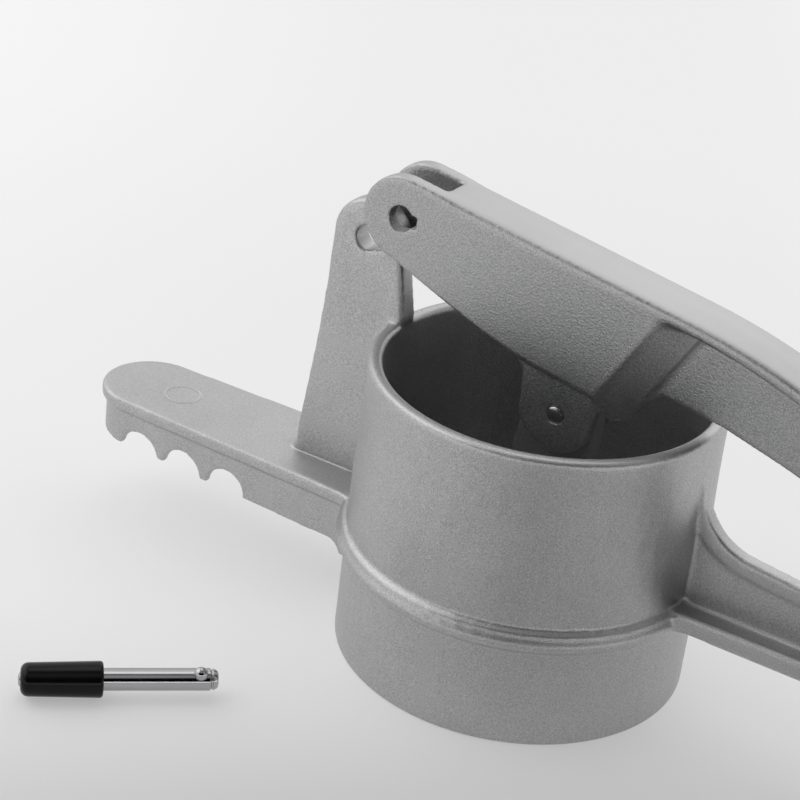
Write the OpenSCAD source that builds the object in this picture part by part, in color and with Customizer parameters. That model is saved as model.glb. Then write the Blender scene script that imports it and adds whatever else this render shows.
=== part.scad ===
// Spaetzle press, its hinge pin drawn out and the lever lying loose, on a table at z = 0.
// X runs along the handles and away from the notched tongue, and Z is up.
// The origin is the centre of the cup's foot.

/* [Cup] */
// Inner diameter of the cup
cup_bore = 80; // [74:1:88]
// Height of the cup's rim
cup_height = 76; // [68:1:84]
// Thickness of the cup's wall at its foot
cup_wall = 4.2; // [3.4:0.1:6]
// How much thinner the wall is at the rim
cup_taper = 0.7; // [0:0.1:1.2]
// Radius of the rounded rim
rim_round = 1.2; // [0.4:0.1:1.3]
// Height of the rib round the cup
rib_z = 28.8; // [24:0.2:34]
// How far the rib stands out of the wall
rib_out = 2.4; // [1.4:0.1:3.4]

/* [Sieve plate] */
// Thickness of the sieve plate
sieve_t = 2; // [1:0.1:2.4]
// Height of the sieve plate's top above the table
sieve_top = 2.9; // [2.5:0.1:5]
// Width of the ledge that the plate's edge is pressed against
sieve_ledge = 1.6; // [0.8:0.1:2.2]
// Diameter of a hole
sieve_hole = 2.8; // [1.5:0.1:4]
// Distance from hole to hole
sieve_pitch = 6.6; // [5:0.1:10]

/* [Tongue] */
// Reach of the tongue's tip from the cup's axis
tongue_reach = 128.5; // [115:0.5:145]
// Width of the tongue at its tip
tongue_tip_w = 27.4; // [24:0.2:32]
// Width of the tongue at the cup
tongue_root_w = 31.2; // [28:0.2:36]
// Thickness of the tongue's plate
plate_t = 3.5; // [2.5:0.1:5]
// Depth of the skirt below the plate
skirt_depth = 10.9; // [8:0.1:13]
// Wall of the skirt
skirt_wall = 2.3; // [1.6:0.1:3.5]
// How far the skirt stands back from the plate's edge
skirt_inset = 1.3; // [0.4:0.1:2.5]
// Radius of a pot rim notch
notch_r = 6; // [4:0.1:6.8]
// Distance from notch to notch
notch_pitch = 14.3; // [13.8:0.1:18]
// Number of notches
notch_count = 3; // [1:1:4]
// Distance from the tongue's tip to the first notch
notch_first = 19; // [15:0.5:22]

/* [Upright] */
// Distance from the cup's wall to the upright's bore
post_out = 8.1; // [7:0.1:12]
// Height of the upright's bore above the rim
post_rise = 19.4; // [17:0.2:26]
// Radius of the upright's head
head_r = 9.9; // [8.5:0.1:10.2]
// Thickness of the upright at its head
head_t = 6.4; // [5:0.1:6.5]
// Extra thickness of the upright's foot, on each side
foot_draft = 0.3; // [0:0.1:1.2]
// How far the upright's foot is wider than its head, towards the tongue
foot_spread = 4.3; // [2:0.1:8]

/* [Lower handle] */
// Reach of both handles from the cup's axis
handle_reach = 285; // [240:1:320]
// Width of the lower handle at the cup
low_w = 17.2; // [14:0.2:20]
// Thickness of the lower handle's flange
low_flange_t = 4; // [3:0.1:5]
// Height of the lip along the flange's edges
low_lip = 1; // [0.4:0.1:2]
// Height of the lower handle's top edge at its end
low_top = 40.7; // [38:0.1:46]
// Radius of the sweep from the cup's wall into the lower handle
low_sweep_r = 16; // [12:0.5:20]
// Thickness of both handles' webs
web_t = 3.6; // [3:0.1:5]
// Width of the bead along the lower handle's top edge
bead_w = 4.5; // [4:0.1:7]
// Width of both grips
grip_w = 20.8; // [18:0.2:26]

/* [Lever] */
// Slope of the lever as it lies, down towards the grips, in degrees
lever_slope = 8.7; // [7.5:0.1:9.5]
// Width of the lever over its fork
lever_w = 15.4; // [14.4:0.1:18]
// Width of the fork's slot and of the channel behind it
slot_w = 7.5; // [7.1:0.1:8]
// Radius of the fork's ears
ear_r = 10.5; // [9.5:0.1:11.5]
// Radius of the room that the slot leaves round the hinge
crotch_r = 13.2; // [12.6:0.1:15]
// Depth of the plunger's eye below the line through the hinge
eye_drop = 28.5; // [27:0.1:31]
// Radius of the two lugs round the plunger's eye
lug_r = 9.9; // [8.5:0.1:10.8]
// Thickness of a lug
lug_t = 2.5; // [2:0.1:3.2]
// Depth of the lever's sides below the hinge
side_drop = 18.8; // [17.5:0.1:19.5]
// Thickness of the channel's roof
roof_t = 4.5; // [3.5:0.1:6]
// Thickness of the flange along the lever's top
cap_t = 3.4; // [2.5:0.1:4.5]
// Bend of the lever behind the cup, in degrees
bend = 11.3; // [9:0.1:13]
// Depth of the lever's web behind the channel
web_depth = 23.6; // [20:0.1:24.4]
// Depth of the lever at its grip
grip_depth = 18.5; // [14:0.1:20]

/* [Plunger] */
// Gap all round between the disc and the cup
disc_gap = 0.6; // [0.4:0.1:1]
// Thickness of the disc
disc_t = 4; // [3:0.5:7]
// Depth of the plunger's eye below the rim while it is down
eye_sink = 6.6; // [5.5:0.1:8]
// Lean of the plunger as it lies, towards the grips, in degrees
lean = 5; // [3:0.5:5.5]
// Width of the stem at its foot
stem_w = 23; // [20:0.5:30]
// Width of the stem's cross rib at its foot
rib_w = 24; // [14:1:30]
// Thickness of the stem's cross rib
rib_t = 4; // [3:0.5:6]
// Diameter of the rivet through the plunger's eye
rivet_d = 4.2; // [3.4:0.1:5]

/* [Hinge pin] */
// Diameter of the hinge bores
hinge_bore = 6.5; // [5.8:0.1:7]
// Diameter of the pin's shank
shank_d = 5.4; // [5:0.1:5.6]
// Length of the shank past the grip
shank_l = 27; // [24:0.2:34]
// Diameter of the cross pin that keys the shank
key_d = 3; // [2:0.1:3]
// Distance from the cross pin to the shank's tip
key_inset = 4.2; // [3.4:0.1:5]
// Width of the keyway beside each hinge bore
keyway_w = 3.2; // [3.1:0.1:4]
// Reach of the keyway from the bore's axis
keyway_reach = 4.4; // [4.2:0.1:5]
// Length of the pin's grip
knob_l = 19.2; // [15:0.2:26]
// Diameter of the grip at the shank
knob_d = 8.7; // [7.5:0.1:11]
// Taper of the grip, the loss in its diameter at the outer end
knob_taper = 0.7; // [0:0.1:1.5]
// Angle of the lying pin from the X axis, in degrees
pin_turn = 40.5; // [30:0.5:60]
// Place of the lying pin's grip end along X
pin_x = -77.7; // [-90:0.1:-70]
// Place of the lying pin's grip end along Y
pin_y = -97.3; // [-120:0.1:-90]

/* [Hidden] */
$fn = 96;

seat_gap = 0.3;     // between two pieces that lie on each other
press_gap = 0.03;   // round a piece that is pressed in
running_gap = 0.08; // round a pin that turns in its bore
stem_gap = 0.4;     // beside the stem, in the lever's channel
through = 60;       // longer than anything is wide, for cuts that go through

bore_r = cup_bore / 2;
foot_r = bore_r + cup_wall;
rim_r = foot_r - cup_taper;
plate_top = rib_z + 3.2;
low_flange_top = rib_z + 2.4;

post_x = -foot_r - post_out;
post_z = cup_height + post_rise;
post_front = -bore_r + 0.4;
root_fillet = 8;    // in the corners beside the tongue and the lower handle

// The plunger leans in the cup and stands on the sieve plate with its lower edge.
disc_r = bore_r - disc_gap;
disc_z = sieve_top + seat_gap + disc_r * sin(lean);
rivet_z = cup_height - eye_sink;
stem_h = (rivet_z - disc_z) / cos(lean);
rivet_x = stem_h * sin(lean);

// The lever's own frame has its origin in the hinge bore and X along its top.
// With the pin in place and the plunger down, the eye stands over the cup's axis.
eye_x = -post_x - 0.7;
fork_x = rivet_x - eye_x * cos(lever_slope) + eye_drop * sin(lever_slope);
fork_z = rivet_z + eye_x * sin(lever_slope) + eye_drop * cos(lever_slope);
step_x = eye_x + 8;
ramp_lean = 20;
ramp_run = 8.6;
ramp_end = 1.7;
nose_x = step_x + 4.4;
nose_z = -side_drop - 5.4;
bend_x = eye_x + 23.4;
bend_l = 30;
web_x = eye_x + 22;
grip_end_z = low_top + seat_gap + grip_depth;
lever_end = (handle_reach - fork_x) * cos(lever_slope) - (grip_end_z - fork_z) * sin(lever_slope);
lever_end_z = (handle_reach - fork_x) * sin(lever_slope) + (grip_end_z - fork_z) * cos(lever_slope);
grip_l = 95;
grip_flare = 35;    // length over which a handle widens into its grip
grip_slope = 4.2;

aluminium = [0.72, 0.72, 0.73];
bright_steel = [0.85, 0.85, 0.87];
black = [0.05, 0.05, 0.055];

function arc(cx, cy, r, from, to, steps = 8) =
    [for (i = [0:steps]) let (a = from + (to - from) * i / steps) [cx + r * cos(a), cy + r * sin(a)]];

// A cubic from height z0 with slope m0 to height z1 with slope m1, over the length l.
function blend(t, l, z0, m0, z1, m1) =
    (2 * t ^ 3 - 3 * t ^ 2 + 1) * z0 + (t ^ 3 - 2 * t ^ 2 + t) * l * m0
    + (3 * t ^ 2 - 2 * t ^ 3) * z1 + (t ^ 3 - t ^ 2) * l * m1;

// Extrudes an outline drawn in X and Z from y0 to y1.
module along_y(y0, y1) {
    translate([0, y1, 0]) rotate([90, 0, 0]) linear_extrude(y1 - y0) children();
}

module y_cylinder(x, z, r, y0, y1) {
    translate([x, y1, z]) rotate([90, 0, 0]) cylinder(r = r, h = y1 - y0);
}

// A hinge bore with its keyway, which points along the X axis turned down by an angle.
module keyed_bore(x, z, turn) {
    y_cylinder(x, z, hinge_bore / 2, -through, through);
    translate([x, 0, z]) rotate([0, turn, 0]) translate([0, -through, -keyway_w / 2])
        cube([keyway_reach, 2 * through, keyway_w]);
}

// Fills the corner between the cup's wall and an edge at y = edge with a radius, at negative X.
module plan_fillet(edge, r) {
    wall_r = foot_r - 0.8;
    cx = sqrt((wall_r + r) ^ 2 - (edge + r) ^ 2);
    k = (wall_r - 2) / (wall_r + r);
    difference() {
        polygon([[-cx, edge - 1], [-cx, edge + r], [-cx * k, (edge + r) * k], [-cx * k + 3, edge - 1]]);
        translate([-cx, edge + r]) circle(r);
    }
}

module cup_wall_solid() {
    lip = cup_height - rim_round;
    rotate_extrude()
        polygon(concat([[0, 0], [foot_r, 0], [foot_r, cup_height * 0.6], [rim_r + 0.2, cup_height * 0.75],
                        [rim_r, cup_height * 0.86]],
                       arc(rim_r - rim_round, lip, rim_round, 0, 90, 5), [[0, cup_height]]));
}

// The rib has a round main bead and a smaller one that steps back above it.
module cup_rib() {
    bead_r = 2.2;
    step_r = 1;
    step_out = 1.5;
    rotate_extrude() {
        translate([foot_r + rib_out - bead_r, rib_z - 0.3]) circle(bead_r, $fn = 32);
        translate([foot_r + step_out - step_r, rib_z + 2.1]) circle(step_r, $fn = 24);
        translate([foot_r - 1, rib_z - 2.1]) square([1.4, 5]);
    }
}

module tongue_plan(inset) {
    tip_r = tongue_tip_w / 2;
    tip_centre = -tongue_reach + tip_r;
    root = -bore_r - cup_wall / 2;
    translate([tip_centre, 0]) circle(tip_r - inset);
    polygon([[tip_centre, inset - tip_r], [root, inset - tongue_root_w / 2],
             [root, tongue_root_w / 2 - inset], [tip_centre, tip_r - inset]]);
}

module tongue() {
    plate_z = plate_top - plate_t;
    skirt_z = plate_z - skirt_depth;
    foot_fillet = 4;
    skirt_end = -foot_r - foot_fillet;
    difference() {
        union() {
            translate([0, 0, plate_z]) linear_extrude(plate_t) {
                tongue_plan(0);
                plan_fillet(tongue_root_w / 2, root_fillet);
                mirror([0, 1]) plan_fillet(tongue_root_w / 2, root_fillet);
            }
            intersection() {
                translate([0, 0, skirt_z - foot_fillet]) linear_extrude(skirt_depth + foot_fillet + 1)
                    difference() {
                        tongue_plan(skirt_inset);
                        difference() {
                            tongue_plan(skirt_inset + skirt_wall);
                            circle(foot_r - 0.5);
                        }
                    }
                along_y(-through, through) difference() {
                    polygon([[-tongue_reach, skirt_z + 0.8], [skirt_end, skirt_z - 0.6],
                             [skirt_end, skirt_z - foot_fillet], [-bore_r, skirt_z - foot_fillet],
                             [-bore_r, plate_top - 1], [-tongue_reach, plate_top - 1]]);
                    translate([skirt_end, skirt_z - 0.6 - foot_fillet]) circle(foot_fillet);
                }
            }
        }
        for (i = [0:notch_count - 1])
            y_cylinder(-tongue_reach + notch_first + i * notch_pitch, skirt_z - 0.3, notch_r,
                       -through, through);
    }
}

// Side outline of the upright, from its foot in the tongue to the head round the hinge bore.
// Its edges stand back by inset.
module post_outline(inset) {
    sink = 1;
    foot_z = plate_top - sink;
    foot_fillet = 3;
    radius = head_r - inset;
    back = post_x - radius;
    foot_back = back - foot_spread;
    front = post_front - inset;
    translate([post_x, post_z]) circle(radius);
    polygon([[back, post_z], [back - foot_spread * 0.1, post_z - 14], [back - foot_spread * 0.4, post_z - 31],
             [foot_back, plate_top + 6], [foot_back, foot_z], [-bore_r - sink, foot_z],
             [-bore_r - sink, cup_height - rim_round], [front, cup_height - rim_round],
             [front, cup_height + rim_round], [post_x + radius - 0.3, post_z - 1], [post_x, post_z]]);
    difference() {
        translate([foot_back - foot_fillet, foot_z]) square([foot_fillet + sink, foot_fillet + sink]);
        translate([foot_back - foot_fillet, plate_top + foot_fillet]) circle(foot_fillet);
    }
}

// The edges of both sides are broken by a small step, and below the cup's rim the sides draw out.
module upright() {
    half = head_t / 2;
    edge = 0.7;
    straight_z = cup_height - 3;
    along_y(-half, half) post_outline(edge);
    along_y(edge - half, half - edge) post_outline(0);
    intersection() {
        along_y(-half - foot_draft, half + foot_draft) post_outline(edge);
        rotate([90, 0, 90]) linear_extrude(4 * through, center = true)
            polygon([[-half - foot_draft, plate_top - 1], [half + foot_draft, plate_top - 1],
                     [half, straight_z], [-half, straight_z]]);
    }
}

// Height of the lower handle's top edge: a slope behind the sweep, then a parabola into the level grip.
low_sweep_x = foot_r - 0.2 + low_sweep_r;
low_fall = 0.12;
low_start_x = low_sweep_x - low_sweep_r * sin(atan(low_fall));
low_start_z = low_top + 7.4;
low_run = 2 * (low_start_z - low_top) / low_fall;
low_sweep_z = low_start_z + low_sweep_r * cos(atan(low_fall));
function low_edge(drop) = concat(
    arc(low_sweep_x, low_sweep_z, low_sweep_r + drop, 180, 270 - atan(low_fall), 12),
    [for (i = [1:10]) let (u = i / 10)
        [low_start_x + low_run * u, low_start_z - low_fall * low_run * (u - u * u / 2) - drop]],
    [[handle_reach - 3, low_top - drop]]);

module low_plan(inset) {
    half = low_w / 2 - inset;
    grip = grip_w / 2 - inset;
    end_x = handle_reach - grip_w / 2;
    grip_x = handle_reach - grip_l;
    polygon([[foot_r - 2, -half], [grip_x - grip_flare, -half], [grip_x, -grip], [end_x, -grip],
             [end_x, grip], [grip_x, grip], [grip_x - grip_flare, half], [foot_r - 2, half]]);
    translate([end_x, 0]) circle(grip);
}

module lower_handle() {
    lip_w = 1.8;
    flange_z = low_flange_top - low_flange_t;
    bead_drop = 4;
    translate([0, 0, flange_z]) linear_extrude(low_flange_t) {
        low_plan(0);
        mirror([1, 0]) plan_fillet(low_w / 2, root_fillet);
        mirror([1, 0]) mirror([0, 1]) plan_fillet(low_w / 2, root_fillet);
    }
    translate([0, 0, flange_z + 1]) linear_extrude(low_flange_t - 1 + low_lip) difference() {
        low_plan(0);
        low_plan(lip_w);
    }
    along_y(-web_t / 2, web_t / 2)
        polygon(concat(low_edge(0), [[handle_reach - 3, flange_z + 1], [foot_r - 2, flange_z + 1],
                                     [foot_r - 2, low_sweep_z]]));
    along_y(-bead_w / 2, bead_w / 2) difference() {
        polygon(concat(low_edge(0), [[handle_reach - 3, flange_z + 1], [foot_r - 2, flange_z + 1],
                                     [foot_r - 2, low_sweep_z]]));
        polygon(concat(low_edge(bead_drop), [[handle_reach + 3, low_top - bead_drop],
                                             [handle_reach + 3, 0], [0, 0], [0, low_sweep_z],
                                             [foot_r - 2, low_sweep_z]]));
    }
}

module body_casting() {
    rim_chamfer = 0.8;
    color(aluminium) difference() {
        union() {
            cup_wall_solid();
            cup_rib();
            tongue();
            upright();
            lower_handle();
        }
        translate([0, 0, -1]) cylinder(r = bore_r, h = cup_height + 1 + 0.01, $fn = 180);
        translate([0, 0, cup_height - rim_chamfer])
            cylinder(r1 = bore_r, r2 = bore_r + rim_chamfer, h = rim_chamfer + 0.01, $fn = 180);
        translate([0, 0, -1]) cylinder(r = bore_r + sieve_ledge, h = sieve_top + 1, $fn = 180);
        keyed_bore(post_x, post_z, 12);
    }
}

module sieve_plate() {
    plate_r = bore_r + sieve_ledge - press_gap;
    field_r = bore_r - 4;
    row_h = sieve_pitch * sin(60);
    rows = floor(field_r / row_h);
    color(aluminium) difference() {
        translate([0, 0, sieve_top - sieve_t]) cylinder(r = plate_r, h = sieve_t, $fn = 180);
        for (row = [-rows:rows]) {
            y = row * row_h;
            offset_x = (abs(row) % 2) * sieve_pitch / 2;
            across = floor(field_r / sieve_pitch);
            for (i = [-across - 1:across]) {
                x = i * sieve_pitch + offset_x;
                if (norm([x, y]) + sieve_hole / 2 < field_r)
                    translate([x, y, 0]) cylinder(d = sieve_hole, h = sieve_top + 1, $fn = 24);
            }
        }
    }
}

// Height of the lever's top above the hinge: level, bent down, then easing back into the grip.
bend_r = bend_l / sin(bend);
bend_z = ear_r - bend_r * (1 - cos(bend));
function top_line(drop) = concat(
    arc(bend_x, ear_r - bend_r, bend_r - drop, 90, 90 - bend, 8),
    [for (i = [1:14]) let (t = i / 14, l = lever_end - bend_x - bend_l)
        [bend_x + bend_l + l * t,
         blend(t, l, bend_z, -tan(bend), lever_end_z, tan(grip_slope)) - drop]]);

function web_line() =
    [for (i = [16:-1:0]) let (t = i / 16, x = web_x + (lever_end - web_x - 3) * t)
        [x, lookup(x, top_line(0)) - grip_depth - (web_depth - grip_depth) * (1 - t) ^ 2]];

function reverse_points(points) = [for (i = [len(points) - 1:-1:0]) points[i]];

module lever_plan() {
    half = lever_w / 2;
    grip = grip_w / 2;
    end_x = lever_end - grip;
    grip_x = lever_end - grip_l;
    polygon([[-2 * ear_r, -half], [grip_x - grip_flare, -half], [grip_x, -grip], [end_x, -grip],
             [end_x, grip], [grip_x, grip], [grip_x - grip_flare, half], [-2 * ear_r, half]]);
    translate([end_x, 0]) circle(grip);
}

// Side outline over the full width: the ear, the top, the flange's underside, the step and the belly.
module side_outline() {
    belly_r = 105;
    belly_x = eye_x - 4.7;
    belly_angle = 13.8;
    polygon(concat(top_line(0), reverse_points(top_line(cap_t)),
                   [[step_x + (ear_r - cap_t + side_drop) * tan(ramp_lean), ear_r - cap_t], [step_x, -side_drop]],
                   arc(belly_x, belly_r - side_drop, belly_r, -90, -90 - belly_angle, 6),
                   arc(0, 0, ear_r, 270 - belly_angle, 90, 40)));
}

// The channel's end, which slopes in from both sides to a ledge beside the web and runs down to a nose.
module ramp() {
    half = lever_w / 2;
    top = ear_r - cap_t / 2;
    edge = half - 0.3;
    ledge = web_t / 2 + ramp_end;
    inner = web_t / 4;
    intersection() {
        along_y(-half, half)
            polygon([[step_x - 4, top], [step_x + 24, top], [step_x + 13, 8 - side_drop],
                     [step_x + 8.6, nose_z + 1.9], [nose_x, nose_z], [step_x - 4, 4 - side_drop]]);
        translate([step_x, 0, -side_drop]) rotate([0, ramp_lean, 0])
            linear_extrude(3 * through, center = true)
                polygon([[-3, -edge], [-0.5, -edge], [ramp_run, -ledge], [ramp_run + 0.6, -inner],
                         [ramp_run + 0.6, inner], [ramp_run, ledge], [-0.5, edge], [-3, edge]]);
    }
}

module lug_outline() {
    flare = 8;
    sink = 2;
    polygon(concat([[eye_x - lug_r - flare, sink - side_drop], [eye_x - lug_r - 1.4, -side_drop - 3]],
                   arc(eye_x, -eye_drop, lug_r, 180, 360, 32), [[eye_x + lug_r, sink - side_drop]]));
}

module lever_at_hinge() {
    slot = slot_w / 2;
    roof_z = ear_r - roof_t;
    difference() {
        union() {
            intersection() {
                along_y(-through, through) side_outline();
                translate([0, 0, -through]) linear_extrude(2 * through) lever_plan();
            }
            ramp();
            along_y(-web_t / 2, web_t / 2)
                polygon(concat([[step_x - 5, ear_r - cap_t / 2]], top_line(cap_t / 2), web_line(),
                               [[step_x + 6, nose_z + 3], [step_x - 5, nose_z + 12]]));
            along_y(-slot - lug_t, slot + lug_t) lug_outline();
        }
        along_y(-slot, slot) {
            circle(crotch_r);
            polygon([[-through, roof_z], [step_x + (roof_z + side_drop) * tan(ramp_lean) - 1, roof_z],
                     [step_x + (side_drop - through) * tan(ramp_lean) - 1, -through], [-through, -through]]);
            translate([eye_x, -eye_drop]) circle(lug_r + 1);
        }
        keyed_bore(0, 0, -lever_slope);
        y_cylinder(eye_x, -eye_drop, rivet_d / 2 + press_gap, -through, through);
    }
}

module lever() {
    color(aluminium) translate([fork_x, 0, fork_z]) rotate([0, lever_slope, 0]) lever_at_hinge();
}

module place_plunger() {
    translate([0, 0, disc_z]) rotate([0, lean, 0]) children();
}

module plunger() {
    edge = 0.5;
    eye_r = lug_r - 0.6;
    half = slot_w / 2 - stem_gap;
    rib_top = stem_h - lug_r - 3;
    color(aluminium) place_plunger() difference() {
        union() {
            rotate_extrude($fn = 180)
                polygon([[0, 0], [disc_r - edge, 0], [disc_r, edge], [disc_r, disc_t - edge],
                         [disc_r - edge, disc_t], [0, disc_t]]);
            along_y(-half, half) {
                translate([0, stem_h]) circle(eye_r);
                polygon([[-eye_r, stem_h], [eye_r, stem_h], [stem_w / 2 - 1, stem_h - 24],
                         [stem_w / 2, disc_t - 1], [-stem_w / 2, disc_t - 1], [1 - stem_w / 2, stem_h - 24]]);
            }
            rotate([90, 0, 90]) linear_extrude(rib_t, center = true)
                polygon([[-rib_w / 2, disc_t - 1], [rib_w / 2, disc_t - 1], [half, rib_top], [-half, rib_top]]);
        }
        y_cylinder(0, stem_h, rivet_d / 2 + running_gap, -through, through);
    }
}

module plunger_rivet() {
    reach = slot_w / 2 + lug_t;
    dome = 0.6;
    dome_r = ((rivet_d / 2) ^ 2 + dome ^ 2) / (2 * dome);
    color(bright_steel) translate([rivet_x, reach + dome, rivet_z]) rotate([90, 0, 0])
        rotate_extrude($fn = 48) difference() {
            polygon(concat([[0, 0]], arc(0, dome_r, dome_r, -90, -90 + asin(rivet_d / 2 / dome_r), 5),
                           [[rivet_d / 2, 2 * reach + dome]],
                           arc(0, 2 * (reach + dome) - dome_r, dome_r, 90 - asin(rivet_d / 2 / dome_r), 90, 5)));
            translate([-rivet_d, -1]) square([rivet_d, 2 * reach + 4]);
        }
}

// The lying pin's own axis runs along Z, from its grip to its tip.
module place_pin() {
    translate([pin_x, pin_y, knob_d / 2]) rotate([0, 0, pin_turn]) rotate([0, 90, 0]) children();
}

pin_end = knob_l + shank_l;
tail_d = 3.3;
tail_out = 0.5;
socket_z = 6;
key_z = pin_end - key_inset;
key_out = 1.3;
key_floor = 0.4;
key_turn = 205;

module pin_shank() {
    r = shank_d / 2;
    groove_z = pin_end - 1.9;
    color(bright_steel) place_pin() difference() {
        rotate_extrude($fn = 64)
            polygon([[0, -tail_out], [tail_d / 2 - 0.3, -tail_out], [tail_d / 2, 0], [tail_d / 2, socket_z],
                     [r, socket_z], [r, groove_z], [r - 0.35, groove_z + 0.25], [r - 0.35, groove_z + 0.5],
                     [r - 0.1, groove_z + 0.7], [r - 0.5, pin_end - 0.3], [r - 0.9, pin_end], [0, pin_end]]);
        key_cut(key_d / 2 + press_gap);
    }
}

// The cross pin's blind hole, on the side that faces up and a little to the front.
module key_cut(r) {
    translate([0, 0, key_z]) rotate([0, 0, key_turn]) rotate([0, 90, 0])
        translate([0, 0, key_floor]) cylinder(r = r, h = shank_d, $fn = 48);
}

// The cross pin's free end is a ball.
module pin_key() {
    r = key_d / 2;
    ball_z = shank_d / 2 + key_out - r;
    color(bright_steel) place_pin() translate([0, 0, key_z]) rotate([0, 0, key_turn]) rotate([0, 90, 0])
        rotate_extrude($fn = 48)
            polygon(concat([[0, key_floor + press_gap], [r, key_floor + press_gap]], arc(0, ball_z, r, 0, 90, 10)));
}

module pin_grip() {
    end_round = 1.9;
    edge = 0.9;
    r0 = (knob_d - knob_taper) / 2;
    r1 = knob_d / 2;
    color(black) place_pin() rotate_extrude($fn = 64) difference() {
        polygon(concat([[0, 0]], arc(r0 - end_round, end_round, end_round, -90, 0, 6),
                       arc(r1 - edge, knob_l - edge, edge, 0, 90, 5), [[0, knob_l]]));
        polygon([[0, -1], [tail_d / 2 + press_gap, -1], [tail_d / 2 + press_gap, socket_z - press_gap],
                 [shank_d / 2 + press_gap, socket_z - press_gap], [shank_d / 2 + press_gap, knob_l + 1],
                 [0, knob_l + 1]]);
    }
}

body_casting();
sieve_plate();
lever();
plunger();
plunger_rivet();
pin_shank();
pin_grip();
pin_key();
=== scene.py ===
import math

import bmesh
import bpy
import numpy as np
from mathutils import Matrix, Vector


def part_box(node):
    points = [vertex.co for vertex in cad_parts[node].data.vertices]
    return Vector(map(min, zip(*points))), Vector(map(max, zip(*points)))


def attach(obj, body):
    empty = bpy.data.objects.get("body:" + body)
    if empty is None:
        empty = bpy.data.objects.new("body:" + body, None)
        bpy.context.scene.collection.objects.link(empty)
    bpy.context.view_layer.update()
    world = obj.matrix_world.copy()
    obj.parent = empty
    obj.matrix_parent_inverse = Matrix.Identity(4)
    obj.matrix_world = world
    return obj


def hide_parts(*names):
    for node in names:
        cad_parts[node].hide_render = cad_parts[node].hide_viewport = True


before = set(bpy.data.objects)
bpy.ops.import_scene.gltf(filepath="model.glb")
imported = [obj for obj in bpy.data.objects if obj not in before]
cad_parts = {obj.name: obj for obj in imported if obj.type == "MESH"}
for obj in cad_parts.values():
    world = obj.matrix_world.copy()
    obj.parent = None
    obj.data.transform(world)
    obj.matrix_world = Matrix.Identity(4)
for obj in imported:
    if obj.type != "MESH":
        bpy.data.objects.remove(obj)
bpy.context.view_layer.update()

scene = bpy.context.scene
scene.view_settings.view_transform = "Standard"

# Camera
# The viewpoint of the photograph: 28 degrees round from the near side, 27 degrees above
# the table and rolled by 7 degrees, at about half a metre with a long lens.
look_azimuth = math.radians(28.2)
look_height = math.radians(27.29)
look_roll = math.radians(7.14)
look_shift = (0.0274, -0.0608)
look_distance = 0.5453
focal_px, picture_px, sensor_mm = 2146, 800, 36
back = np.array([math.sin(look_azimuth) * math.cos(look_height),
                 -math.cos(look_azimuth) * math.cos(look_height), math.sin(look_height)])
level_right = np.array([math.cos(look_azimuth), math.sin(look_azimuth), 0.0])
level_up = np.cross(back, level_right)
right = math.cos(look_roll) * level_right + math.sin(look_roll) * level_up
up = -math.sin(look_roll) * level_right + math.cos(look_roll) * level_up
eye = look_distance * back - look_shift[0] * right - look_shift[1] * up
lens = bpy.data.cameras.new("camera")
lens.sensor_width = sensor_mm
lens.lens = focal_px / picture_px * sensor_mm
lens.clip_start, lens.clip_end = 0.01, 50
camera = bpy.data.objects.new("camera", lens)
camera.matrix_world = Matrix([[right[i], up[i], back[i], eye[i]] for i in range(3)]
                             + [[0, 0, 0, 1]])
scene.collection.objects.link(camera)
scene.camera = camera


# Table and backdrop
# One seamless pale sheet of board under the press, level round it and curving up far
# behind it on every side. It isn't part of the press.
class Wire:
    """An output socket. + - * and ** on it add Math nodes, + - and * also with a number first."""

    def __init__(self, tree, socket):
        self.tree, self.socket = tree, socket

    def maths(self, operation, first, second=None, clamp=False):
        node = self.tree.nodes.new("ShaderNodeMath")
        node.operation, node.use_clamp = operation, clamp
        for slot, value in zip(node.inputs, (first, second)):
            if isinstance(value, Wire):
                self.tree.links.new(value.socket, slot)
            elif value is not None:
                slot.default_value = value
        return Wire(self.tree, node.outputs[0])

    def __add__(self, other):
        return self.maths("ADD", self, other)

    def __sub__(self, other):
        return self.maths("SUBTRACT", self, other)

    def __rsub__(self, other):
        return self.maths("SUBTRACT", other, self)

    def __mul__(self, other):
        return self.maths("MULTIPLY", self, other)

    def __pow__(self, other):
        return self.maths("POWER", self, other)

    __radd__, __rmul__ = __add__, __mul__

    def clamped(self):
        """The value held between 0 and 1."""
        return self.maths("ADD", self, 0.0, clamp=True)

    def root(self):
        return self.maths("SQRT", self)

    def exp(self):
        return self.maths("EXPONENT", self)


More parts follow.
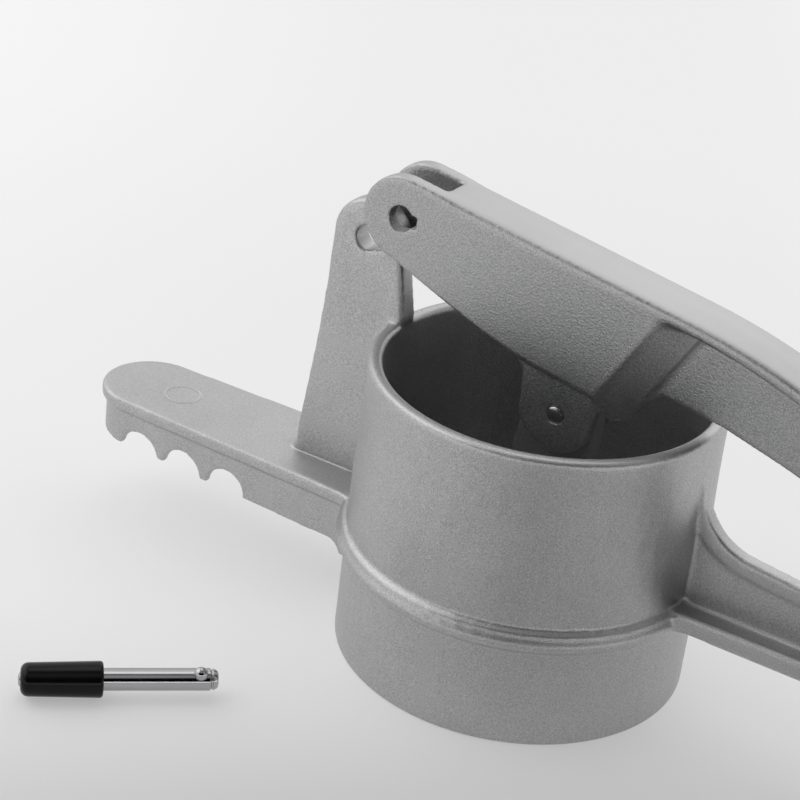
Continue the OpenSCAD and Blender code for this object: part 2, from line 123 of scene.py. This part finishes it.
class Finish:
    """A material's node tree: its shader, and one method that adds any other node."""

    def __init__(self, name, owner=None, shader="Principled BSDF"):
        self.owner = owner or bpy.data.materials.new(name)
        self.owner.use_nodes = True
        self.tree = self.owner.node_tree
        self.shader = self.tree.nodes.get(shader)

    def node(self, kind, settings=None, sockets=None, output=0):
        """A node of a kind, with its settings made first and then its sockets' values or links."""
        made = self.tree.nodes.new(kind)
        for key, value in (settings or {}).items():
            setattr(made, key, value)
        self.feed(made, sockets or {})
        return Wire(self.tree, made.outputs[output])

    def feed(self, node, sockets):
        """Sets or links a node's sockets."""
        for key, value in sockets.items():
            if isinstance(value, Wire):
                self.tree.links.new(value.socket, node.inputs[key])
            else:
                node.inputs[key].default_value = value

    def place(self):
        """Object coordinates, in metres."""
        return self.node("ShaderNodeTexCoord", output="Object")

    def parts(self, vector):
        """The three parts of a vector."""
        split = self.node("ShaderNodeSeparateXYZ", {}, {0: vector}).socket.node
        return [Wire(self.tree, socket) for socket in split.outputs]

    def noise(self, vector, scale, detail=2.0, rough=0.5):
        """Fractal noise from 0 to 1. Scale is the number of waves in a metre."""
        return self.node("ShaderNodeTexNoise", {}, {"Vector": vector, "Scale": scale,
                                                    "Detail": detail, "Roughness": rough})

    def tint(self, factor, dark, light):
        """A colour between two, by a factor from 0 to 1."""
        return self.node("ShaderNodeMix", {"data_type": "RGBA"},
                         {0: factor, 6: (*dark, 1), 7: (*light, 1)}, output=2)

    def step(self, value, low, high):
        """A smooth step from 0 at low to 1 at high."""
        return self.node("ShaderNodeMapRange", {"interpolation_type": "SMOOTHSTEP"},
                         {0: value, 1: low, 2: high})

    def grey(self, value):
        """A grey whose three parts are the value."""
        return self.node("ShaderNodeCombineColor", {}, {0: value, 1: value, 2: value})


def round_mesh(name, points, end_closed=True):
    """A mesh over an array of points [u, v, 3] that runs round in u: a quad for each cell, and
    a fan of triangles to a middle point at v's start, and at its end where that is closed."""
    count, rings = points.shape[:2]
    index = np.arange(count * rings).reshape(count, rings)
    beside = np.roll(index, -1, axis=0)
    faces = np.stack([index[:, :-1], beside[:, :-1], beside[:, 1:], index[:, 1:]], -1)
    faces = faces.reshape(-1, 4).tolist()
    verts = points.reshape(-1, 3)
    closed = ((0, 1), (rings - 1, -1)) if end_closed else ((0, 1),)
    for ring, order in closed:
        verts = np.vstack([verts, points[:, ring].mean(0)])
        fan = np.stack([beside[:, ring], index[:, ring], np.full(count, len(verts) - 1)], -1)
        faces += fan[:, ::order].tolist()
    mesh = bpy.data.meshes.new(name)
    mesh.from_pydata(verts.tolist(), [], faces)
    mesh.polygons.foreach_set("use_smooth", [True] * len(mesh.polygons))
    mesh.update()
    made = bpy.data.objects.new(name, mesh)
    scene.collection.objects.link(made)
    return made


board_flat, board_rise, board_sink = 2.2, 0.5, 0.0003
board_sides, board_rings = 96, 24
board_turn = np.linspace(0, 2 * np.pi, board_sides, endpoint=False)
bend = np.linspace(0.05, np.pi / 2, 16)
board_run = np.concatenate([np.linspace(0.02, board_flat, board_rings),
                            board_flat + board_rise * np.sin(bend)])
board_up = np.concatenate([np.zeros(board_rings), board_rise * (1 - np.cos(bend))]) - board_sink
board = round_mesh("board", np.stack([np.outer(np.cos(board_turn), board_run),
                                      np.outer(np.sin(board_turn), board_run),
                                      np.tile(board_up, (board_sides, 1))], -1), end_closed=False)
paper = Finish("paper")
paper_x, paper_y, _ = paper.parts(paper.place())
# The board's glow is painted light and shade, for the camera and for what mirrors it: even round
# and behind the press, painted darker in front of it, and brighter again far out in front and on
# both sides.
toward = paper_x * math.sin(look_azimuth) - paper_y * math.cos(look_azimuth)
leftward = (paper_x * math.cos(look_azimuth) + paper_y * math.sin(look_azimuth)) * -1.0
away = (paper_x * paper_x + paper_y * paper_y).root()
behind = paper.step(toward * -1.0, 0.05, 0.4)
near_front = paper.step(toward, 0.0, 0.16)
front = paper.step(toward, 0.0, 0.25)
on_left = paper.step(leftward, 0.0, 0.3)
on_right = paper.step(leftward * -1.0, 0.08, 0.3)
far_front = paper.step(away, 0.24, 0.5) * paper.step(toward, -0.1, 0.2)
# Painted light: this glow lights the metal's reflections as a lamp would, though the board is no
# lamp.
painted_glow = ((1.0 - near_front) * 0.43 + behind * 0.045 + on_left * 0.085 + on_left * front * 0.6
        + on_right * (front * 0.8 + 0.12)).clamped()
painted_glow = (painted_glow + far_front * (on_right * 0.4 + 0.42)).clamped()
seen = (paper.node("ShaderNodeLightPath", output="Is Camera Ray")
        + paper.node("ShaderNodeLightPath", output="Is Glossy Ray")).clamped()
paper.feed(paper.shader, {"Base Color": (0.5, 0.5, 0.5, 1), "Roughness": 0.8,
                          "Specular IOR Level": 0.0, "Emission Color": paper.grey(painted_glow * seen),
                          "Emission Strength": 1.0})
board.data.materials.append(paper.owner)

# Lamps
# A studio of ten soft windows round and over the press, each a patch of light in the sky
# with a soft edge. The camera sees a plain pale grey there.

# Each window's azimuth and height, the angles from its middle to its full light and to its
# edge, all in degrees, and its strength.
windows = ((118, 30, 15, 40, 0.64), (80, 30, 15, 40, 0.80), (156, 30, 15, 40, 0.28),
           (0, 90, 20, 55, 0.16), (118, 74, 3, 20, 1.3), (-170, 30, 15, 45, 1.35),
           (-133, 52, 5, 30, 0.8), (-118, 22, 8, 24, 0.6), (-50, 60, 3, 20, 0.3),
           (30, 30, 15, 45, 0.5))
sky_seen = (0.86, 0.86, 0.86, 1)
sky = bpy.data.worlds.new("sky")
scene.world = sky
air = Finish("sky", owner=sky, shader="Background")
air_x, air_y, air_z = air.parts(air.node("ShaderNodeTexCoord", output="Generated"))
air_lit = 0.0
for azimuth, height, inner, outer, strength in windows:
    turn, lift = math.radians(azimuth), math.radians(height)
    facing = (air_x * (math.cos(lift) * math.cos(turn)) + air_y * (math.cos(lift) * math.sin(turn))
              + air_z * math.sin(lift))
    patch = air.step(facing, math.cos(math.radians(outer)), math.cos(math.radians(inner)))
    air_lit = air_lit + patch * strength
in_view = air.node("ShaderNodeLightPath", output="Is Camera Ray")
air.feed(air.shader, {"Color": air.node("ShaderNodeMix", {"data_type": "RGBA"},
                                        {0: in_view, 6: air.grey(air_lit), 7: sky_seen}, output=2),
                      "Strength": 1.0})


# Body casting
# Cup, notched tongue, upright and lower handle are one casting of aluminium, shot-blasted
# after casting, so its edges are soft and its skin is finely grained.
def net_of(node, name, step):
    """An even net of small squares over a CAD node: its triangles merged, then remeshed at a
    step."""
    made = bpy.data.objects.new(name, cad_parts[node].data.copy())
    scene.collection.objects.link(made)
    shell = bmesh.new()
    shell.from_mesh(made.data)
    bmesh.ops.remove_doubles(shell, verts=shell.verts, dist=1e-6)
    shell.to_mesh(made.data)
    shell.free()
    net = made.modifiers.new("net", "REMESH")
    net.mode, net.voxel_size = "VOXEL", step
    bake(made)
    return made


def bake(piece):
    """Applies a piece's modifiers to its mesh."""
    finished = piece.evaluated_get(bpy.context.evaluated_depsgraph_get())
    done = bpy.data.meshes.new_from_object(finished)
    piece.modifiers.clear()
    piece.data = done


def points_of(piece):
    """The places of a mesh's points, as an array [point, 3]."""
    co = np.zeros(len(piece.data.vertices) * 3)
    piece.data.vertices.foreach_get("co", co)
    return co.reshape(-1, 3)


def relax(piece, passes, weight):
    """Each pass moves every point half the way to the mean of its neighbours, times its weight."""
    co = points_of(piece)
    ends = np.zeros(len(piece.data.edges) * 2, np.int32)
    piece.data.edges.foreach_get("vertices", ends)
    a, b = ends.reshape(-1, 2).T
    count = np.bincount(a, minlength=len(co)) + np.bincount(b, minlength=len(co))
    for _ in range(passes):
        total = np.stack([np.bincount(a, co[b, i], len(co)) + np.bincount(b, co[a, i], len(co))
                          for i in range(3)], -1)
        co += 0.5 * weight(co)[:, None] * (total / count[:, None] - co)
    piece.data.vertices.foreach_set("co", co.ravel())


def thin_out(piece, most=190000):
    """Fewer triangles where the surface is flat, down to a count."""
    piece.data.calc_loop_triangles()
    count = len(piece.data.loop_triangles)
    if count > most:
        fewer = piece.modifiers.new("fewer", "DECIMATE")
        fewer.ratio = most / count
        bake(piece)
    piece.data.polygons.foreach_set("use_smooth", [True] * len(piece.data.polygons))
    piece.data.update()


def ease(value, low, high):
    """A smooth step from 0 at low to 1 at high."""
    t = np.clip((value - low) / (high - low), 0, 1)
    return t * t * (3 - 2 * t)


def mark_ground_and_sheen(piece, amount):
    """Keeps how smooth each point was ground and how much painted sheen it gets: its amount where
    it faces up, and 0 on the sides."""
    normal = np.zeros(len(piece.data.vertices) * 3)
    piece.data.vertices.foreach_get("normal", normal)
    ground_and_sheen = piece.data.attributes.new("ground_and_sheen", "FLOAT", "POINT")
    ground_and_sheen.data.foreach_set("value", (amount * ease(normal[2::3], 0.55, 0.9)).astype(np.float32))


def cast_skin(name, base, rough, coarse=0.6, ring=None):
    """Shot-blasted cast aluminium: fine grain in bump and colour, a share of coarser pits, slow
    patches in roughness, and smoother skin where it faces up and was ground, painted paler there
    as a painted sheen. A ring is the faint mark of the ejector that pushed the casting out: its
    centre's x and y and its radius."""
    spread, ring_width = 0.22, 0.0003
    grain_waves, pit_waves, patch_waves = 3600, 1700, 70
    skin = Finish(name)
    where = skin.place()
    blasted_not_sheened = 1.0 - skin.node("ShaderNodeAttribute", {"attribute_name": "ground_and_sheen"}, output="Fac")
    grain = skin.noise(where, grain_waves, 1.0, 0.6)
    pits = skin.noise(where, pit_waves)
    patches = skin.noise(where, patch_waves)
    # Up-facing faces have less grain, as they were ground, and their colour is painted paler: a
    # painted sheen.
    shade = (0.5 + ((grain - 0.5) * 3.0 + (pits - 0.5) * coarse) * blasted_not_sheened
             + (patches - 0.5) * 0.5 + (1.0 - blasted_not_sheened) * 0.7).clamped()
    light = [c * (1 + spread) for c in base]
    dark = [c * (1 - spread) for c in base]
    height = (grain * 0.6 + pits * coarse) * blasted_not_sheened
    if ring:
        across, along, _ = skin.parts(where)
        off = ((across - ring[0]) ** 2.0 + (along - ring[1]) ** 2.0).root() - ring[2]
        height = height - (off * off * (-1.0 / ring_width ** 2)).exp() * 3.0
    relief = skin.node("ShaderNodeBump", {},
                       {"Strength": 0.7, "Distance": 0.0001, "Height": height})
    skin.feed(skin.shader, {"Base Color": skin.tint(shade, dark, light), "Metallic": 0.92,
                            "Roughness": (grain - 0.5) * 0.2 + (patches - 0.5) * 0.12 + rough,
                            "Normal": relief})
    return skin


# The cup: its foot's outer radius and edge, the ring inside which nothing is its foot, how far
# the foot is turned, and the radii between which its wall ends and the arms begin.
cup_foot_r, foot_edge, foot_inner = 0.0442, 0.0005, 0.038
turned_in, turned_up = 0.0016, 0.0035
wall_end, arms_start = 0.047, 0.050
# The upright: its bore and the wall round it, the heights and the x between which its sides draw
# out, the y up to which they do and past which nothing moves, and by how much they draw out.
hinge_x, hinge_z = -0.0523, 0.0954
bore_wall, bore_past = 0.0052, 0.0065
tongue_top, rim_under = 0.033, 0.073
upright_outer, upright_inner = -0.067, -0.043
side_y, past_side, draw_out = 0.0038, 0.0055, 0.25
# The tongue: where its notches lie, and the mark of the ejector on its top.
notches_from_r, notches_top = 0.055, 0.0275
ejector_ring = (-0.10485, -0.0003, 0.0047)


def body_soft(co):
    """How much the casting's edges are rounded: half as much on the cup as on the tongue, the
    upright and the lower handle, less on the notches and the foot, and little in the bore."""
    x, y, z = co.T
    r = np.hypot(x, y)
    arms = ease(r, wall_end, arms_start)
    bore = ease(np.hypot(x - hinge_x, z - hinge_z), bore_wall, bore_past)
    teeth = np.where((r > notches_from_r) & (z < notches_top), 0.45, 1.0)
    foot = np.where(r > foot_inner, ease(z, 0.0, 0.0015), 1)
    return (0.45 + 0.55 * arms) * (0.15 + 0.85 * bore) * teeth * (0.5 + 0.5 * foot)


def draw_out_foot(piece):
    """The upright's sides draw out towards its foot in the tongue: their y grows by a quarter
    at the foot and by nothing under the rim."""
    co = points_of(piece)
    x, y, z = co.T
    here = (x < upright_inner) & (x > upright_outer) & (z > tongue_top - 0.0008)
    share = (1 - ease(z, tongue_top, rim_under)) * (1 - ease(np.abs(y), side_y, past_side)) * here
    co[:, 1] *= 1 + draw_out * share
    piece.data.vertices.foreach_set("co", co.ravel())


def true_foot(piece):
    """The cup's foot is turned true: its wall lies at the foot's radius, its lower edge on a
    quarter circle of half a millimetre, and its ring on the table."""
    co = points_of(piece)
    r, z = np.hypot(co[:, 0], co[:, 1]), co[:, 2]
    out, down = r - (cup_foot_r - foot_edge), foot_edge - z
    near = (np.abs(r - cup_foot_r) < turned_in) & (z < turned_up)
    length = np.maximum(np.hypot(out, down), 1e-9)
    edge = near & (out > 0) & (down > 0)
    wall = near & (down <= 0) & (out > -foot_edge)
    ring = near & (out <= 0) & (down > 0)
    edge_r = cup_foot_r - foot_edge + foot_edge * out / length
    new_r = np.where(edge, edge_r, np.where(wall, cup_foot_r, r))
    co[:, :2] *= (new_r / np.maximum(r, 1e-9))[:, None]
    co[:, 2] = np.where(edge, foot_edge - foot_edge * down / length, np.where(ring, 0, z))
    piece.data.vertices.foreach_set("co", co.ravel())


body = net_of("body_casting", "press_body_cast", 0.00048)
draw_out_foot(body)
relax(body, 9, body_soft)
true_foot(body)
thin_out(body)
# The body's up-facing faces get a slight painted sheen.
mark_ground_and_sheen(body, 0.2)
cast_metal = cast_skin("cast_aluminium", (0.485, 0.485, 0.49), 0.43, ring=ejector_ring)
body.data.materials.clear()
body.data.materials.append(cast_metal.owner)
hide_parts("body_casting")
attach(body, "press_body")

# Sieve plate
# A punched disc of aluminium pressed into the cup's foot. Its skin is paler and smoother
# than the castings'.
sieve_metal = cast_skin("sieve_aluminium", (0.6, 0.6, 0.605), 0.34)
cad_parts["sieve_plate"].data.materials.clear()
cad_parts["sieve_plate"].data.materials.append(sieve_metal.owner)

# Lever
# The forked lever is a second casting of the same metal, with a channel over the plunger
# and a T-section behind it. It lies loosely, as its hinge pin is out.
fork_x, fork_z = -0.0412, 0.10538
rivet_x, rivet_z = 0.0055, 0.0694
lever_slope = math.radians(8.7)
# The roof: how far over the fork's bore it lies, where it starts behind the ears, and its fall
# to both sides with the half width at which its crown changes nothing.
roof_top, roof_under = 0.0065, 0.003
ears_end, roof_start = -0.034, -0.026
roof_fall, roof_mean = 0.08, 0.0045


def roof_share(co):
    """1 in the lever's roof and 0 below it: how far a point lies under the fork's bore, square
    to the lever's length, eased from 6.5 to 3 mm above it."""
    x, _, z = co.T
    down = (fork_z - z) * math.cos(lever_slope) - (x - fork_x) * math.sin(lever_slope)
    return 1 - ease(down, -roof_top, -roof_under)


def lever_soft(co):
    """The lever's top edges are rounded most, its belly and its channel's end less, and the
    bores and the rivet's seat hardly at all."""
    x, _, z = co.T
    rivet = ease(np.hypot(x - rivet_x, z - rivet_z), 0.0025, 0.0045)
    bore = ease(np.hypot(x - fork_x, z - fork_z), 0.0048, 0.0062)
    return (0.6 + 0.4 * roof_share(co)) * rivet * (0.1 + 0.9 * bore)


def roof_soft(co):
    """The long edges of the lever's roof are rounded again, behind the ears."""
    return roof_share(co) * ease(co[:, 0], ears_end, roof_start)


def crown_roof(piece):
    """The lever's roof falls off to both sides of its middle line: its z grows by the fall
    times the way from |y| to the roof's mean half width."""
    co = points_of(piece)
    co[:, 2] += roof_fall * (roof_mean - np.abs(co[:, 1])) * roof_soft(co)
    piece.data.vertices.foreach_set("co", co.ravel())


lever = net_of("lever", "lever_cast", 0.0004)
crown_roof(lever)
relax(lever, 12, lever_soft)
relax(lever, 18, roof_soft)
thin_out(lever)
# The lever's up-facing faces get a strong painted sheen, paler than its sides.
mark_ground_and_sheen(lever, 0.8)
lever_metal = cast_skin("cast_aluminium_lever", (0.43, 0.43, 0.435), 0.42, coarse=1.3)
lever.data.materials.clear()
lever.data.materials.append(lever_metal.owner)
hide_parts("lever")
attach(lever, "lever_body")

# Plunger
# The third casting: a round disc on a flat stem with a cross rib, hung from the lever by
# its rivet.
plunger = net_of("plunger", "plunger_cast", 0.0005)
relax(plunger, 4, lambda co: np.full(len(co), 0.8))
thin_out(plunger)
plunger.data.materials.clear()
plunger.data.materials.append(cast_metal.owner)
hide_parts("plunger")
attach(plunger, "plunger_body")


# Rivet
# A turned steel rivet with domed heads, closed over both lugs of the lever.
def turned(name, profile, start, axis, sides=64):
    """A turned piece: a profile of (radius, place along the axis) carried round the axis. Its
    ends close on the axis."""
    axis = np.array(axis) / np.linalg.norm(axis)
    across = np.cross(axis, (0, 0, 1.0))
    across /= np.linalg.norm(across)
    other = np.cross(axis, across)
    turn = np.linspace(0, 2 * np.pi, sides, endpoint=False)
    r, along = np.array(profile).T
    ring = np.cos(turn)[:, None] * across + np.sin(turn)[:, None] * other
    points = (np.array(start) + ring[:, None, :] * r[None, :, None]
              + along[None, :, None] * axis)
    return round_mesh(name, points)


def polished(name, base, rough):
    """Polished or plated steel with faint turning marks and smears."""
    skin = Finish(name)
    where = skin.place()
    smear = skin.noise(where, 400, 3.0, 0.5)
    marks = skin.noise(where, 3000, 1.0)
    relief = skin.node("ShaderNodeBump", {},
                       {"Strength": 0.15, "Distance": 0.00003, "Height": marks})
    skin.feed(skin.shader, {"Base Color": skin.tint(smear, [c * 0.93 for c in base], base),
                            "Metallic": 1.0, "Roughness": (smear - 0.5) * 0.12 + rough,
                            "Normal": relief})
    return skin


rivet_low, rivet_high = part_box("plunger_rivet")
rivet_r = (rivet_high.z - rivet_low.z) / 2
rivet_long = rivet_high.y - rivet_low.y
rivet_start = ((rivet_low.x + rivet_high.x) / 2, rivet_low.y, (rivet_low.z + rivet_high.z) / 2)
dome_high = 0.0006
dome = np.linspace(0.08, math.pi / 2, 8)
dome_r, dome_in = rivet_r * np.sin(dome), dome_high * (1 - np.cos(dome))
rivet_profile = np.vstack([np.stack([dome_r, dome_in], -1),
                           np.stack([dome_r, rivet_long - dome_in], -1)[::-1]])
rivet = turned("rivet", rivet_profile, rivet_start, (0, 1, 0))
rivet_steel = polished("rivet_steel", (0.5, 0.5, 0.51), 0.2)
rivet.data.materials.append(rivet_steel.owner)
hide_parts("plunger_rivet")
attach(rivet, "lever_body")


# Hinge pin
# The drawn-out hinge pin lies beside the press: a plated steel shank with a bevelled,
# grooved end, a short cross pin pressed into it, and a black plastic grip pushed on.
def rounded(points, radius, steps=5):
    """A profile whose inner corners are rounded: each corner becomes a short curve whose ends
    lie at most that radius away along its two sides."""
    points = np.array(points, float)
    made = [points[:1]]
    for before, corner, after in zip(points[:-2], points[1:-1], points[2:]):
        side_in, side_out = np.linalg.norm(before - corner), np.linalg.norm(after - corner)
        cut = min(radius, 0.45 * side_in, 0.45 * side_out)
        start = corner + cut * (before - corner) / side_in
        end = corner + cut * (after - corner) / side_out
        t = np.linspace(0, 1, steps)[:, None]
        made.append((1 - t) ** 2 * start + 2 * t * (1 - t) * corner + t ** 2 * end)
    return np.vstack(made + [points[-1:]])


pin_turn = math.radians(40.5)
pin_axis = np.array([math.cos(pin_turn), math.sin(pin_turn), 0])
pin_start = np.array([-0.0777, -0.0973, 0.0087 / 2])
pin_long, pin_sides = 0.0462, 96

# The grip's profile: a bore at its outer end, a large rounding there and a small one inside.
grip_long = 0.0192
end_round, edge_round = 0.0019, 0.00075
quarter = np.linspace(0, math.pi / 2, 9)
grip_profile = np.vstack([[(0.0018, 0.0)],
                          np.stack([0.0021 + end_round * np.sin(quarter),
                                    end_round * (1 - np.cos(quarter))], -1),
                          np.stack([0.0036 + edge_round * np.cos(quarter),
                                    grip_long + edge_round * (np.sin(quarter) - 1)], -1),
                          [(0.0029, grip_long)], [(0.0028, grip_long - 0.0006)]])
grip = turned("pin_grip_black", grip_profile, pin_start, pin_axis, pin_sides)

# The shank's profile: the thin tail in the grip, the shank, its groove and its bevelled end.
shank_profile = rounded([(0.0002, -0.0004), (0.0010, -0.0005), (0.00163, -0.0002),
                         (0.00165, 0.0045), (0.0027, 0.006), (0.0027, pin_long - 0.00195),
                         (0.00236, pin_long - 0.00165), (0.00236, pin_long - 0.0014),
                         (0.0026, pin_long - 0.0012), (0.0022, pin_long - 0.0003),
                         (0.0018, pin_long), (0.0002, pin_long)], 0.00012)
shank = turned("pin_shank_plated", shank_profile, pin_start, pin_axis, pin_sides)

# The cross pin's profile: a short neck in the shank and a ball outside it.
key_turn = math.radians(205)
key_inset, key_r, key_middle = 0.0042, 0.0017, 0.00255
pin_side = np.array([-math.sin(pin_turn), math.cos(pin_turn), 0])
key_axis = math.cos(key_turn) * np.array([0, 0, -1.0]) + math.sin(key_turn) * pin_side
ball = np.linspace(-0.4, 1.5, 14)
key_profile = np.vstack([[(0.0002, 0.0016), (0.0015, 0.0016)],
                         np.stack([key_r * np.cos(ball), key_middle + key_r * np.sin(ball)], -1)])
key_start = pin_start + (pin_long - key_inset) * pin_axis
key = turned("pin_key_plated", key_profile, key_start, key_axis)

chrome = polished("pin_steel", (0.46, 0.46, 0.47), 0.12)
for piece, node in ((shank, "pin_shank"), (key, "pin_key")):
    piece.data.materials.append(chrome.owner)
    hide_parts(node)
    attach(piece, "hinge_pin")
black = Finish("black_plastic")
film = black.noise(black.place(), 300, 3.0, 0.6)
film_relief = black.node("ShaderNodeBump", {},
                         {"Strength": 0.1, "Distance": 0.00005, "Height": film})
black.feed(black.shader, {"Base Color": black.tint(film, (0.003, 0.003, 0.0035),
                                                   (0.007, 0.007, 0.0075)),
                          "Specular IOR Level": 0.2, "Roughness": (film - 0.5) * 0.12 + 0.17,
                          "Normal": film_relief})
grip.data.materials.append(black.owner)
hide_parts("pin_grip")
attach(grip, "hinge_pin")
